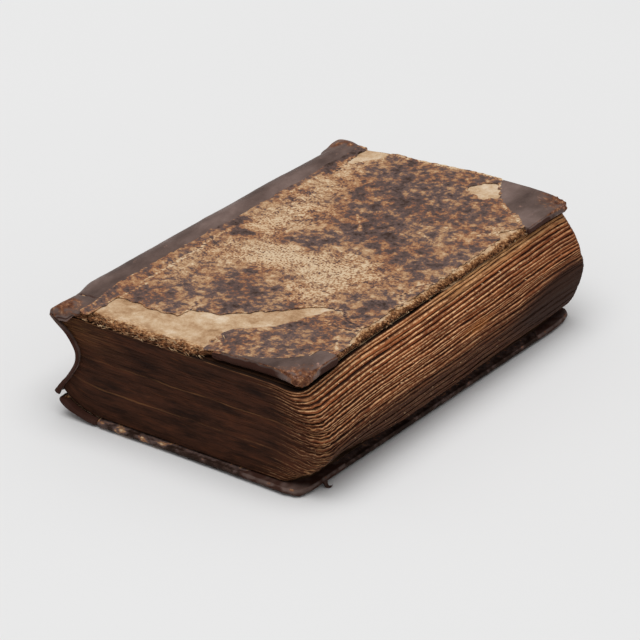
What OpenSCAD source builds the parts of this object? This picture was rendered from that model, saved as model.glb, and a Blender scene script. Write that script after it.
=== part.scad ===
// Antique half-leather book, lying on its back board with the spine towards -X and the head towards +Y.
// The sewn leaves have sunk at the back, so the spine is hollow and the fore edge bulges out.

/* [Boards] */
// Width of a board, from its spine edge to its fore edge
board_w = 108; // [96:1:124]
// Height of a board, from tail to head
board_h = 170; // [150:1:200]
// Thickness of the pasteboard
board_t = 2.2; // [1.8:0.1:3]
// Radius worn onto the fore corners of a board
board_corner_r = 3.5; // [1.5:0.5:6]
// Radius of the rolled spine edge of the front board
board_roll_r = 4.2; // [3.4:0.1:5.4]

/* [Coverings] */
// Thickness of the leather and of the side paper on a board
cover_t = 0.5; // [0.35:0.05:0.7]
// Leather lap on the front board, from the rolled edge
lap_w = 7.5; // [5:0.5:14]
// Leather lap on the back board, from the start of the curl
back_lap_w = 2; // [1:0.5:8]
// Leg of a leather corner along the head or the tail edge
corner_leg_w = 34; // [24:1:42]
// Leg of a leather corner along the fore edge
corner_leg_h = 30; // [24:1:42]
// Width of the leather turned in on the inner face of a board
turn_in = 8; // [5:0.5:12]
// Length of the doubled leather cap at each end of the front joint
cap_l = 13; // [9:0.5:18]
// Distance by which a cap stands out from the joint between the caps
cap_rise = 1.8; // [0.8:0.1:2.4]
// Strip worn off the side papers along the edges of a board
paper_wear = 1.2; // [0.6:0.1:3]

/* [Endpapers] */
// Thickness of a pastedown and of the pared turn-ins beside it
pastedown_t = 0.25; // [0.15:0.05:0.4]
// Border left between a pastedown and the edges of its board
pastedown_set = 2; // [1:0.5:4]
// Thickness of a free endpaper
flyleaf_t = 0.25; // [0.15:0.05:0.4]

/* [Text block] */
// Thickness of the sewn leaves
block_t = 36.5; // [34:0.5:40]
// Set-back of the leaves from the head, tail and fore edges of the boards
block_square = 0.8; // [0.5:0.1:2.5]
// Bulge of the fore edge past its ends
fore_bulge = 7.5; // [4:0.5:10]
// Number of gatherings
gatherings = 34; // [20:1:40]
// Radius worn onto the fore corners of the leaves
leaf_corner_r = 6; // [3:0.5:9]
// Largest uneven step of one gathering at the fore edge
leaf_jog = 0.35; // [0.1:0.05:0.6]

/* [Spine] */
// Depth to which the back of the leaves has sunk behind the spine edges of the boards
spine_sink = 11.5; // [10:0.5:13]
// Radius of the sunk back along its deepest line
spine_r = 8; // [7:0.5:9]
// Height of the deepest line above the bottom leaf
spine_low = 21.5; // [20.5:0.5:22.5]
// Slope of the back above the deepest line, from level, in degrees
upper_slope = 50; // [47:1:54]
// Slope of the back below the deepest line, from level, in degrees
lower_slope = 55; // [53:1:58]
// Thickness of the paper lining on the back of the leaves
lining_t = 0.5; // [0.3:0.1:0.8]
// Thickness of the spine leather
leather_t = 1.1; // [0.8:0.1:1.4]
// Number of sewing cords
cords = 4; // [3:1:5]
// Width of a flattened sewing cord
cord_w = 3; // [2:0.5:5]
// Thickness of a flattened sewing cord
cord_t = 1; // [0.6:0.1:1.5]
// Length of a cord above and below the deepest line
cord_reach = 9; // [6:0.5:10]

/* [Back board curl] */
// Radius of the curled spine side of the back cover, at its outer face
curl_r = 19; // [18:0.5:20]
// Turn of the curled spine side of the back board, in degrees
curl_angle = 54; // [50:1:55]

/* [Clearances] */
// Air between a cover and the leaves
cover_gap = 0.3; // [0.2:0.05:0.6]
// Air between the torn lower edge of the spine leather and the back cover
tear_gap = 0.9; // [0.7:0.1:2]

/* [Hidden] */
$fn = 96;

// Length by which a cutting shape runs past what it cuts
overrun = 5;
// Turn by which the leather lap of the back cover runs past its board, in degrees
lap_overturn = 1.5;
// Exponent that sets the crest of the fore edge below mid-height
bulge_skew = 0.85;
// Share of the height of the leaves between two sewing cords
cord_pitch_share = 0.22;
// Depth by which each gathering runs into the one below it
leaf_lap = 0.1;
// Seed of the uneven gatherings
jog_seed = 7;

// Layers of a cover, counted from its outer face
board_out = cover_t;
board_in = cover_t + board_t;
cover_in = board_in + pastedown_t;

// Heights of the leaves and of the whole book
leaf_bottom = cover_in + cover_gap + flyleaf_t;
leaf_top = leaf_bottom + block_t;
book_t = leaf_top + flyleaf_t + cover_gap + cover_in;
fly_top = leaf_top + flyleaf_t;

// Plan of the boards and leaves
fore_x = board_w / 2;
spine_x = -board_w / 2;
head_y = board_h / 2;
block_h = board_h - 2 * block_square;
leaf_fore_x = fore_x - block_square;
far_x = spine_x - overrun;

// Rolled spine edge of the front board
roll_reach = sqrt(pow(board_roll_r, 2) - pow(board_roll_r - board_t, 2));
roll_x = spine_x + cap_rise + roll_reach;
roll_z = book_t - board_out - board_roll_r;
lap_x = roll_x + lap_w;

// Axis of the curl of the back cover
lap_angle = curl_angle + lap_overturn;
curl_x = spine_x + curl_r * sin(lap_angle);
back_lap_x = curl_x + back_lap_w;

// Axis of the sunk back of the leaves
notch_x = spine_x + spine_sink - spine_r;
notch_z = leaf_bottom + spine_low;

// Lower edge of the spine leather, just above the inner edge of the curled back board
tear_z = curl_r - (curl_r - cover_in) * cos(curl_angle) + tear_gap - cover_gap;

// Places torn from the front side paper, as shares of the board's width from its spine edge
// and of its height from its tail edge
tail_tear_shares = [
    [0.135, 0.000], [0.130, 0.045], [0.160, 0.100], [0.158, 0.130], [0.200, 0.112], [0.330, 0.108],
    [0.390, 0.120], [0.400, 0.140], [0.455, 0.150], [0.510, 0.168], [0.590, 0.222], [0.670, 0.265],
    [0.745, 0.312], [0.815, 0.335], [0.790, 0.312], [0.740, 0.280], [0.738, 0.255], [0.700, 0.230],
    [0.692, 0.205], [0.640, 0.160], [0.590, 0.120], [0.575, 0.085], [0.590, 0.040], [0.610, 0.000]
];
head_tear_shares = [
    [0.165, 1.000], [0.160, 0.955], [0.150, 0.912], [0.178, 0.918], [0.205, 0.940], [0.222, 0.965],
    [0.255, 0.985], [0.262, 1.000]
];
fore_tear_shares = [
    [1.000, 0.830], [0.955, 0.818], [0.925, 0.800], [0.950, 0.780], [0.940, 0.700], [0.930, 0.610],
    [0.945, 0.540], [0.905, 0.470], [0.870, 0.452], [0.940, 0.430], [0.945, 0.380], [0.935, 0.300],
    [0.960, 0.200], [1.000, 0.170]
];
corner_tear_shares = [
    [0.665, 0.955], [0.690, 0.966], [0.720, 0.985], [0.790, 0.925], [0.800, 0.895], [0.745, 0.892],
    [0.650, 0.915], [0.675, 0.935]
];

// An outline in the X and Z directions, drawn along Y to a length centred on the book
module along_y(length) {
    rotate([90, 0, 0]) linear_extrude(length, center = true) children();
}

// A slab of a plan outline between two heights
module slab(z_from, z_to) {
    translate([0, 0, z_from]) linear_extrude(z_to - z_from) children();
}

// The front cover is the mirror image of a cover that lies on its outer face
module turned_up() {
    translate([0, 0, book_t]) mirror([0, 0, 1]) children();
}

// Plan with rounded corners at its fore edge, open ended towards the spine
module rounded_plan(to_x, half_h, corner_r) {
    translate([far_x, -half_h]) square([to_x - corner_r - far_x, 2 * half_h]);
    translate([far_x, corner_r - half_h]) square([to_x - far_x, 2 * (half_h - corner_r)]);
    for (side = [-1, 1]) translate([to_x - corner_r, side * (half_h - corner_r)]) circle(corner_r);
}

// Plan of a board with its worn corners, grown by the leather that wraps it
module board_plan(grow = 0) {
    rounded_plan(fore_x + grow, head_y + grow, board_corner_r + grow);
}

// Triangle of leather over one fore corner, side -1 at the tail and 1 at the head
module corner_plan(side) {
    reach = fore_x + cover_t;
    edge_y = head_y + cover_t;
    polygon([[reach, side * edge_y], [fore_x - corner_leg_w, side * edge_y],
             [reach, side * (head_y - corner_leg_h)]]);
}

module both_corner_plans() {
    for (side = [-1, 1]) corner_plan(side);
}

// Part of a board's inner face that the turned-in edges leave free
module inside_turn_ins() {
    translate([far_x, turn_in - head_y]) square([fore_x - turn_in - far_x, 2 * (head_y - turn_in)]);
}

// Layer of the back cover between two distances from its outer face: flat, then curled up at the spine
module curled_layer(from, to, to_x, turn) {
    axis = [curl_x, curl_r];
    reach = 2 * curl_r;
    translate([curl_x, from]) square([to_x - curl_x, to - from]);
    intersection() {
        translate(axis) difference() {
            circle(curl_r - from);
            circle(curl_r - to);
        }
        polygon([axis, for (part = [0, 0.5, 1]) axis - reach * [sin(part * turn), cos(part * turn)]]);
    }
}

// Section of the front board, with its spine edge rolled down to the joint
module rolled_section() {
    translate([roll_x, book_t - board_in]) square([fore_x - roll_x, board_t]);
    intersection() {
        translate([roll_x, roll_z]) circle(board_roll_r);
        translate([far_x, book_t - board_in]) square([roll_x - far_x, board_t]);
    }
}

// Section of the front leather lap with its turn-ins, before the board is taken out of it
module rolled_lap_section(rise) {
    edge_x = roll_x - rise;
    translate([edge_x, book_t - cover_in]) square([lap_x - edge_x, cover_in]);
    intersection() {
        translate([edge_x, roll_z]) circle(board_roll_r + cover_t);
        translate([far_x, book_t - cover_in]) square([edge_x - far_x, cover_in]);
    }
}

// Section of the hollow behind the sunk back, for a given radius at its deepest line
module notch_section(radius) {
    axis = [notch_x, notch_z];
    upper = axis + radius * [sin(upper_slope), cos(upper_slope)];
    lower = axis + radius * [sin(lower_slope), -cos(lower_slope)];
    polygon([upper, upper + book_t * [-cos(upper_slope), sin(upper_slope)],
             lower + book_t * [-cos(lower_slope), -sin(lower_slope)], lower]);
    translate(axis) circle(radius);
}

// Band that follows the sunk back, between two radii and two heights
module back_band(inner_r, outer_r, z_from, z_to) {
    intersection() {
        difference() {
            notch_section(outer_r);
            notch_section(inner_r);
        }
        translate([far_x, z_from]) square([board_w, z_to - z_from]);
    }
}

// Fore edge of the leaves at a share of their thickness
function fore_at(share) = leaf_fore_x + fore_bulge * sin(180 * pow(share, bulge_skew));

// Section of the leaves at the spine, with the bottom leaves bent up along the curl of the back board
module leaf_section() {
    reach_x = leaf_fore_x + fore_bulge + overrun;
    translate([curl_x, leaf_bottom]) square([reach_x - curl_x, block_t]);
    translate([far_x, curl_r]) square([reach_x - far_x, leaf_top - curl_r]);
    translate([curl_x, curl_r]) circle(curl_r - leaf_bottom);
}

module cord_places() {
    for (i = [0 : cords - 1])
        translate([0, (i - (cords - 1) / 2) * cord_pitch_share * block_h, 0]) children();
}

module cord_band(inner_r) {
    along_y(cord_w) back_band(inner_r, spine_r + cord_t, notch_z - cord_reach, notch_z + cord_reach);
}

// Sewn leaves: one layer for each gathering, with saw cuts across the back for the cords
module text_block() {
    leaf_t = block_t / gatherings;
    jogs = rands(-leaf_jog, leaf_jog, gatherings, jog_seed);
    color("saddlebrown") difference() {
        intersection() {
            for (i = [0 : gatherings - 1])
                slab(leaf_bottom + i * leaf_t - leaf_lap, leaf_bottom + (i + 1) * leaf_t)
                    rounded_plan(fore_at((i + 0.5) / gatherings) + jogs[i], block_h / 2, leaf_corner_r);
            along_y(board_h) leaf_section();
        }
        along_y(board_h) notch_section(spine_r);
        cord_places() cord_band(spine_r - cord_t);
    }
}

module front_flyleaf() {
    color("burlywood") difference() {
        slab(leaf_top, fly_top) rounded_plan(leaf_fore_x, block_h / 2, leaf_corner_r);
        along_y(board_h) notch_section(spine_r);
    }
}

module back_flyleaf() {
    color("burlywood") difference() {
        intersection() {
            along_y(block_h) curled_layer(leaf_bottom - flyleaf_t, leaf_bottom, leaf_fore_x, lap_angle);
            slab(0, curl_r) rounded_plan(leaf_fore_x, block_h / 2, leaf_corner_r);
        }
        along_y(board_h) notch_section(spine_r);
    }
}

// Hemp cords that the gatherings are sewn to, let into saw cuts across the back
module sewing_cords() {
    color("tan") cord_places() cord_band(spine_r);
}

module spine_lining() {
    color("wheat") along_y(block_h) back_band(spine_r - lining_t, spine_r, tear_z, leaf_top);
}

// Leather over the back of the leaves, torn from the back cover along its lower edge
module spine_leather() {
    lining_r = spine_r - lining_t;
    color("#2e1c14") along_y(board_h) back_band(lining_r - leather_t, lining_r, tear_z, fly_top);
}

module front_board() {
    color("#a08058") intersection() {
        along_y(board_h) rolled_section();
        slab(book_t - board_in, book_t) board_plan();
    }
}

// One torn place in the front side paper
module tear(shares) {
    polygon([for (s = shares) [spine_x + s[0] * board_w, s[1] * board_h - head_y]]);
}

// Plan of a side paper between the leather lap and the leather corners
module side_paper_plan(from_x) {
    difference() {
        intersection() {
            board_plan(-paper_wear);
            translate([from_x, -head_y]) square([board_w, board_h]);
        }
        both_corner_plans();
    }
}

module front_side_paper() {
    color("#5a3c28") slab(book_t - cover_t, book_t) difference() {
        side_paper_plan(lap_x);
        tear(tail_tear_shares);
        tear(head_tear_shares);
        tear(fore_tear_shares);
        tear(corner_tear_shares);
    }
}

// Space between the turn-ins of a leather lap, open at the inner face of the cover
module between_turn_ins(to_x, z_from, z_to) {
    slab(z_from, z_to) intersection() {
        inside_turn_ins();
        translate([far_x, -head_y]) square([to_x - far_x + overrun, board_h]);
    }
}

// Spine leather where it laps the front board, turned in and capped at head and tail
module front_spine_lap() {
    cap_y = head_y + cover_t - cap_l / 2;
    color("#2e1c14") difference() {
        union() {
            along_y(board_h + 2 * cover_t) rolled_lap_section(0);
            for (side = [-1, 1]) translate([0, side * cap_y, 0]) along_y(cap_l) rolled_lap_section(cap_rise);
        }
        along_y(board_h) rolled_section();
        between_turn_ins(lap_x, book_t - cover_in - overrun, book_t - board_in);
    }
}

// Leather over one fore corner of a cover that lies on its outer face
module corner_leather(side) {
    color("#33201a") difference() {
        slab(0, cover_in) intersection() {
            board_plan(cover_t);
            corner_plan(side);
        }
        slab(board_out, board_in) board_plan();
        slab(board_in, cover_in + overrun) inside_turn_ins();
    }
}

// Plan of a pastedown, cut round the turned-in leather
module pastedown_plan(to_x) {
    difference() {
        board_plan(-pastedown_set);
        difference() {
            union() {
                both_corner_plans();
                translate([far_x, -head_y]) square([to_x - far_x, board_h]);
            }
            inside_turn_ins();
        }
    }
}

module front_pastedown() {
    color("burlywood") slab(book_t - cover_in, book_t - board_in) intersection() {
        pastedown_plan(lap_x);
        translate([roll_x - roll_reach + pastedown_set, -head_y]) square([board_w, board_h]);
    }
}

module back_board() {
    color("#8a6844") intersection() {
        along_y(board_h) curled_layer(board_out, board_in, fore_x, curl_angle);
        slab(0, curl_r) board_plan();
    }
}

module back_side_paper() {
    color("#5a3c28") slab(0, cover_t) side_paper_plan(back_lap_x);
}

// Spine leather where it laps the curled side of the back board, turned in at head and tail
module back_spine_lap() {
    color("#2e1c14") difference() {
        along_y(board_h + 2 * cover_t) curled_layer(0, cover_in, back_lap_x, lap_angle);
        along_y(board_h) curled_layer(board_out, board_in, fore_x, lap_angle);
        along_y(2 * (head_y - turn_in)) curled_layer(board_in, cover_in + overrun, fore_x, lap_angle);
    }
}

module back_pastedown() {
    color("burlywood") intersection() {
        along_y(board_h) curled_layer(board_in, cover_in, fore_x, curl_angle);
        slab(0, curl_r) pastedown_plan(back_lap_x);
    }
}

text_block();
front_flyleaf();
back_flyleaf();
sewing_cords();
spine_lining();
spine_leather();
front_board();
front_side_paper();
front_spine_lap();
turned_up() corner_leather(1);  // front_head_corner
turned_up() corner_leather(-1);  // front_tail_corner
front_pastedown();
back_board();
back_side_paper();
back_spine_lap();
corner_leather(1);  // back_head_corner
corner_leather(-1);  // back_tail_corner
back_pastedown();
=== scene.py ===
import math
import random

import bmesh
import bpy
from mathutils import Matrix, Vector, noise


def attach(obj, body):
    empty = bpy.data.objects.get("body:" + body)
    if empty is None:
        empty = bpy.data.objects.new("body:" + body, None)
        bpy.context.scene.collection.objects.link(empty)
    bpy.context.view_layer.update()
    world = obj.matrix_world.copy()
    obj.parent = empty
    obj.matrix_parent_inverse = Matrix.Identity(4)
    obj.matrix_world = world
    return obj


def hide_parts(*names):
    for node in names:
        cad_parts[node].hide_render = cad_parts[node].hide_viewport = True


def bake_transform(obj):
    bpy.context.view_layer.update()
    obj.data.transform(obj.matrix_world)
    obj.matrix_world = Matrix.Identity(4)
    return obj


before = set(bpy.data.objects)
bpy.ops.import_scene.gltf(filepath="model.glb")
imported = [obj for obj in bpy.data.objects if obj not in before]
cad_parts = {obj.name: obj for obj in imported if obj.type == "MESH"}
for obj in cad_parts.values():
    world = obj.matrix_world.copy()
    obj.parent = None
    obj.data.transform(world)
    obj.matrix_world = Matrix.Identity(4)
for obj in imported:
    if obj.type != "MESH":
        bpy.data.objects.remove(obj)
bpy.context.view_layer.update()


# Leaves: sewn gatherings of handmade rag paper with browned, greasy edges. The fore
# edge bulges and has gone wavy, the corners are thumbed round, and the back is sunk
# in where the spine gave way. The lowest leaves follow the curl of the back cover.
MM = 0.001
GATHERINGS = 36
LEAF_PARTS = [0.0, 0.09, 0.2, 0.5, 0.8, 0.91]
LEAF_ROWS = len(LEAF_PARTS)
TAIL_COLUMNS = 76
CORNER_COLUMNS = 14
FORE_COLUMNS = 184
LEAF_HALF_HEIGHT = 83.8
LEAF_LOW = 3.5
LEAF_HIGH = 40.0
LEAF_FORE = 53.2
FORE_BULGE = 7.8
THUMBED_CORNER = 4.6
CURL_X = -37.0
CURL_RADIUS = 25.0
HOLLOW_X = -52.7
HOLLOW_Z = 25.0
HOLLOW_RADIUS = 8.0
HOLLOW_UP = math.radians(50)
HOLLOW_DOWN = math.radians(55)
TAIL_RUN = 100
CORNER_RUN = 10
FORE_RUN = 156
HEAD_TURN = TAIL_RUN + CORNER_RUN + FORE_RUN


def ease(t):
    """A smooth step from 0 to 1."""
    t = min(max(t, 0.0), 1.0)
    return t * t * (3 - 2 * t)


def wander(x, y=0.0, z=0.0):
    """Smooth noise from about -1 to 1."""
    return noise.noise(Vector((x, y, z)))


def tint(code):
    """An sRGB hex colour as linear red, green, blue, alpha."""
    parts = [int(code[i:i + 2], 16) / 255 for i in (1, 3, 5)]
    return [c / 12.92 if c <= 0.04045 else ((c + 0.055) / 1.055) ** 2.4 for c in parts] + [1.0]


def add(tree, kind, ins=None, ramp=None, out=0, **settings):
    """The output of one node with its settings, its constants and links, and its ramp of colours."""
    made = tree.nodes.new("ShaderNode" + kind)
    for name, value in settings.items():
        setattr(made, name, value)
    for name, value in (ins or {}).items():
        if isinstance(value, bpy.types.NodeSocket):
            tree.links.new(value, made.inputs[name])
        else:
            made.inputs[name].default_value = value
    if ramp:
        stops = made.color_ramp.elements
        while len(stops) < len(ramp):
            stops.new(0.5)
        for stop, (place, code) in zip(stops, ramp):
            stop.position = place
            stop.color = tint(code)
    return made.outputs[2 if settings.get("data_type") == "RGBA" else out]


def new_material(name, roughness=0.5, specular=0.5):
    """A plain material, its node tree and its main shader."""
    stuff = bpy.data.materials.new(name)
    stuff.use_nodes = True
    shader = stuff.node_tree.nodes["Principled BSDF"]
    shader.inputs["Roughness"].default_value = roughness
    shader.inputs["Specular IOR Level"].default_value = specular
    return stuff, stuff.node_tree, shader


def make_piece(name, bm, stuff, crease=40):
    """The finished mesh as an object at the origin."""
    bmesh.ops.recalc_face_normals(bm, faces=bm.faces)
    mesh = bpy.data.meshes.new(name)
    bm.to_mesh(mesh)
    bm.free()
    mesh.shade_smooth()
    mesh.set_sharp_from_angle(angle=math.radians(crease))
    mesh.materials.append(stuff)
    piece = bpy.data.objects.new(name, mesh)
    bpy.context.scene.collection.objects.link(piece)
    return piece


def near_tail(y):
    """1 at the tail of the book, falling to 0 further in."""
    return 1 - ease((y + 85) / 40)


def head_creep(x, y):
    """How far the front cover has crept towards the head, most at the fore edge."""
    return 3.3 * ease((x + 50) / 100) * (0.35 + 0.65 * ease((y + 85) / 60))


def leaf_creep(x, y):
    """How far the leaves have crept along with the front cover."""
    return 0.6 * head_creep(x, y) * ease((y + 40) / 120)


def cover_lift(x, y):
    """Lift of the front cover and the leaves under it, most at the head, where the corner bends down."""
    fore = ease(x / 50) * (1 - near_tail(y)) + ease((x - 2) / 30) * near_tail(y)
    head = 2.75 * ease((x + 40) / 58) * ease((y + 10) / 90)
    return fore * (1 - ease(y / 80)) + head - 1.3 * math.exp(-((x - 54) ** 2 + (y - 86) ** 2) / 120)


def spine_slant(x, y, z):
    """The ridge of the spine leans over towards the tail."""
    return (0.037 * y + 0.3) * ease((z - 33) / 6) * ease((-14 - x) / 34)


def leaf_floor(x):
    """Height of the lowest leaf, which rises with the curl."""
    reach = min(max(CURL_X - x, 0), 18)
    return CURL_RADIUS - math.sqrt((CURL_RADIUS - LEAF_LOW) ** 2 - reach ** 2)


def leaf_height(x, y, share):
    """Height of a leaf by its share of the stack."""
    low = leaf_floor(x)
    shrunk = (0.7 * ease((x - 8) / 16) + 1.7 * ease((x - 38) / 13)) * near_tail(y)
    return low + share * (LEAF_HIGH + cover_lift(x, y) - shrunk - low)


def hollow(z):
    """Where the sunk back stands at a height."""
    top = HOLLOW_Z + HOLLOW_RADIUS * math.cos(HOLLOW_UP)
    foot = HOLLOW_Z - HOLLOW_RADIUS * math.cos(HOLLOW_DOWN)
    if z > top:
        return HOLLOW_X + HOLLOW_RADIUS * math.sin(HOLLOW_UP) - (z - top) / math.tan(HOLLOW_UP)
    if z < foot:
        return HOLLOW_X + HOLLOW_RADIUS * math.sin(HOLLOW_DOWN) - (foot - z) / math.tan(HOLLOW_DOWN)
    return HOLLOW_X + math.sqrt(HOLLOW_RADIUS ** 2 - (z - HOLLOW_Z) ** 2)


def leaf_fore(share):
    """Where a leaf ends at the fore edge, by its share of the stack."""
    sunk = 4.5 * (1 - ease(share / 0.1))
    worn_top = 1.5 * share ** 3 + 2.0 * share ** 10
    return LEAF_FORE + FORE_BULGE * math.sin(math.pi * share ** 0.85) - worn_top - sunk


def thumbed_under(share):
    """How far the lowest leaves are worn back at the tail corner of the fore edge."""
    return max(7.5 * (1 - ease(share / 0.42)) - 4.5 * (1 - ease(share / 0.1)), 0)


def leaf_back(share):
    """Where a leaf ends at the sunk back."""
    x = -46.0
    for _ in range(30):
        x += 0.4 * (hollow(leaf_height(x, 0, share)) - x)
    return x


def corner_of(share, at_tail):
    """Radius of a leaf's thumbed corner: the tail one has had the most wear."""
    if at_tail:
        return THUMBED_CORNER + 2.2 * share ** 4 + 1.2 * wander(9 * share, 4.2)
    return 3.4 + 4.0 * ease((0.55 - share) / 0.3) + 0.8 * wander(9 * share, 4.2)


def leaf_edge(column, share, back):
    """Plan place of a column of the leaf edges, its outward way, its place along the edge and side."""
    corner = corner_of(share, column <= TAIL_COLUMNS + CORNER_COLUMNS)
    fore = leaf_fore(share)
    under = thumbed_under(share)
    quarter = math.pi / 2
    if column <= TAIL_COLUMNS + CORNER_COLUMNS:
        fore -= under
    if column <= TAIL_COLUMNS:
        t = column / TAIL_COLUMNS
        clean = 0.86 + 0.1 * wander(37 * share, 2.2)
        return (back + t * (fore - corner - back), -LEAF_HALF_HEIGHT, 0, -1, TAIL_RUN * t,
                0.3 * ease((t - clean) / (1 - clean)))
    column -= TAIL_COLUMNS
    if column <= CORNER_COLUMNS:
        t = column / CORNER_COLUMNS
        out_x, out_y = math.sin(quarter * t), -math.cos(quarter * t)
        return (fore - corner + corner * out_x, corner - LEAF_HALF_HEIGHT + corner * out_y,
                out_x, out_y, TAIL_RUN + CORNER_RUN * t, 0.3 + 0.7 * t)
    column -= CORNER_COLUMNS
    if column <= FORE_COLUMNS:
        t = column / FORE_COLUMNS
        low, high = corner_of(share, True) - LEAF_HALF_HEIGHT, LEAF_HALF_HEIGHT - corner_of(share, False)
        run = TAIL_RUN + CORNER_RUN + FORE_RUN * t
        return fore - under * (1 - ease(t / 0.35)), low + t * (high - low), 1, 0, run, 1
    column -= FORE_COLUMNS
    if column <= CORNER_COLUMNS:
        t = column / CORNER_COLUMNS
        out_x, out_y = math.cos(quarter * t), math.sin(quarter * t)
        return (fore - corner + corner * out_x, LEAF_HALF_HEIGHT - corner + corner * out_y,
                out_x, out_y, HEAD_TURN + CORNER_RUN * t, 1 - t)
    t = (column - CORNER_COLUMNS) / TAIL_COLUMNS
    run = HEAD_TURN + CORNER_RUN + TAIL_RUN * t
    return fore - corner + t * (back - fore + corner), LEAF_HALF_HEIGHT, 0, 1, run, 0


columns = 2 * TAIL_COLUMNS + 2 * CORNER_COLUMNS + FORE_COLUMNS
rows = GATHERINGS * LEAF_ROWS
draw = random.Random(11)
groove_depth = [draw.uniform(0.7, 1.45) for _ in range(GATHERINGS)]
gathering_jog = [draw.uniform(-0.32, 0.32) for _ in range(GATHERINGS)]
thickness = [draw.uniform(0.5, 1.5) for _ in range(GATHERINGS)]
gathering_foot = [sum(thickness[:i]) / sum(thickness) for i in range(GATHERINGS + 1)]
bm = bmesh.new()
lay = bm.verts.layers.float_vector.new("lay")
bmesh.ops.create_grid(bm, x_segments=columns, y_segments=rows, size=0.5)
shares = []
for row in range(rows + 1):
    gathering, part = divmod(row, LEAF_ROWS)
    foot, head = gathering_foot[gathering], gathering_foot[min(gathering + 1, GATHERINGS)]
    shares.append(foot + (head - foot) * LEAF_PARTS[part])
backs = [leaf_back(share) for share in shares]
ends = {0: [], columns: []}
for v in bm.verts:
    column = round((v.co.x + 0.5) * columns)
    row = round((v.co.y + 0.5) * rows)
    share = shares[row]
    x, y, out_x, out_y, run, side = leaf_edge(column, share, backs[row])
    gathering = min(row // LEAF_ROWS, GATHERINGS - 1)
    part = 1.0 if row == rows else LEAF_PARTS[row % LEAF_ROWS]
    groove = math.exp(-(min(part, 1 - part) / 0.1) ** 2)
    lower = 0.3 + 0.7 * ease((share - 0.36) / 0.22)
    smoked = math.exp(-((run - 255) / 28) ** 2) * ease((0.62 - share) / 0.15)
    full = (0.13 + 0.87 * side) * lower * (1 - 0.85 * smoked)
    inset = (groove_depth[gathering] * groove + 0.25 * (2 * part - 1) ** 2) * full
    inset *= 0.85 + 0.7 * wander(run / 13, gathering * 1.9)
    at_head = math.exp(-((run - 270) / 12) ** 2)
    inset += gathering_jog[gathering] * (0.14 + 0.86 * side) * (1 - 0.7 * at_head)
    inset += 0.3 * wander(run / 30, gathering * 2.3, 5) * side
    inset += 0.07 * wander(run / 1.1, row * 0.9) * (0.3 + 0.7 * side)
    z = leaf_height(x, y, share)
    middle = math.sin(math.pi * share) ** 0.4
    wavy = 0.5 * wander(run / 26, share * 5, 2) + 0.3 * wander(run / 6.5, gathering * 0.5, 7)
    z += (wavy + 0.1 * wander(run / 2.1, gathering * 1.1, 9)) * middle
    near_thumb = math.exp(-((x - 55) ** 2 + (y + 84) ** 2) / 130)
    z -= 1.6 * near_thumb * middle * ease((0.8 - share) / 0.5)
    z += 0.55 * near_thumb * middle * wander(run / 2.6, gathering * 0.8, 3)
    inset += 0.5 * near_thumb * wander(run / 2.1, gathering * 1.3, 6)
    x -= inset * out_x
    y -= inset * out_y
    if column in ends:
        ends[column].append(v)
    v[lay] = (run, gathering + part, side)
    v.co = (x + spine_slant(x, y, z), y + leaf_creep(x, y), z)
back_edges = [e for e in bm.edges if e.is_boundary and
              (all(v in ends[0] for v in e.verts) or all(v in ends[columns] for v in e.verts))]
bmesh.ops.bridge_loops(bm, edges=back_edges)
ends_faces = bmesh.ops.holes_fill(bm, edges=[e for e in bm.edges if e.is_boundary], sides=0)["faces"]
# The top face gets the count of the top gathering, which the rag paper paints as shadow.
for v in bmesh.ops.poke(bm, faces=ends_faces)["verts"]:
    at_top = v.co.z > HOLLOW_Z
    v[lay] = (320, GATHERINGS if at_top else 0, 0)
    v.co.z = LEAF_HIGH - 4 if at_top else LEAF_LOW + 2
bmesh.ops.scale(bm, verts=bm.verts, vec=(MM, MM, MM))

# Rag paper seen edge on: brown, with painted shade in the grooves between gatherings and broken painted
# highlights on the lips above them. The tail and the lower half are sooty, with rusty smears and scuffs.
# The lay attribute holds the run along the edge in millimetres, the count of gatherings of
# about a millimetre, and the side: 1 on the fore edge and 0 at the tail.
rag_paper, tree, shader = new_material("rag_paper_edges", 0.8, 0.12)
place = add(tree, "Attribute", attribute_name="lay", out="Vector")
run, count, side = add(tree, "SeparateXYZ", {0: place}).node.outputs
# Each pattern: marks for each millimetre along and each gathering across, detail, roughness.
# Streaks are 6 mm long and four to a gathering: real sheets are too fine to show, so they
# are drawn as coarse as that. Bands are 33 mm long, dashes 11, blots 20, rust 14 and painted
# glint flecks 5, and the sparks and chaff are specks of 2 mm.
EDGE_PATTERNS = {"streak": (0.16, 3.7, 4, 0.65), "band": (0.03, 0.8, 3, 0.6), "dash": (0.09, 1.7, 6, 0.7),
                 "blot": (0.05, 0.27, 6, 0.7), "spark": (0.5, 1.9, 4, 0.7), "rust": (0.072, 1.92, 3, 0.6),
                 "chaff": (0.55, 1.4, 2, 0.5), "thumb": (0.2, 1.5, 4, 0.7)}
pattern = {}
for name, (along, across, detail, rough) in EDGE_PATTERNS.items():
    drawn = add(tree, "VectorMath", {0: place, 1: (along, across, 0)}, operation="MULTIPLY")
    grain = {"Vector": drawn, "Scale": 1.0, "Detail": detail, "Roughness": rough}
    pattern[name] = add(tree, "TexNoise", grain)
streak, dash, blot = pattern["streak"], pattern["dash"], pattern["blot"]
level = add(tree, "Mix", {0: 0.5, 2: streak, 3: pattern["band"]}, data_type="FLOAT")
tail_level = add(tree, "Mix", {0: 0.55, 2: level, 3: blot}, data_type="FLOAT")
fore_tone = add(tree, "ValToRGB", {0: level}, ramp=[
    (0.36, "#421c0d"), (0.46, "#67331a"), (0.54, "#8a4926"), (0.66, "#b26c42")])
tail_tone = add(tree, "ValToRGB", {0: tail_level}, ramp=[
    (0.34, "#211008"), (0.46, "#321b0f"), (0.57, "#44271a"), (0.67, "#64391d"), (0.77, "#925f33")])
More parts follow.
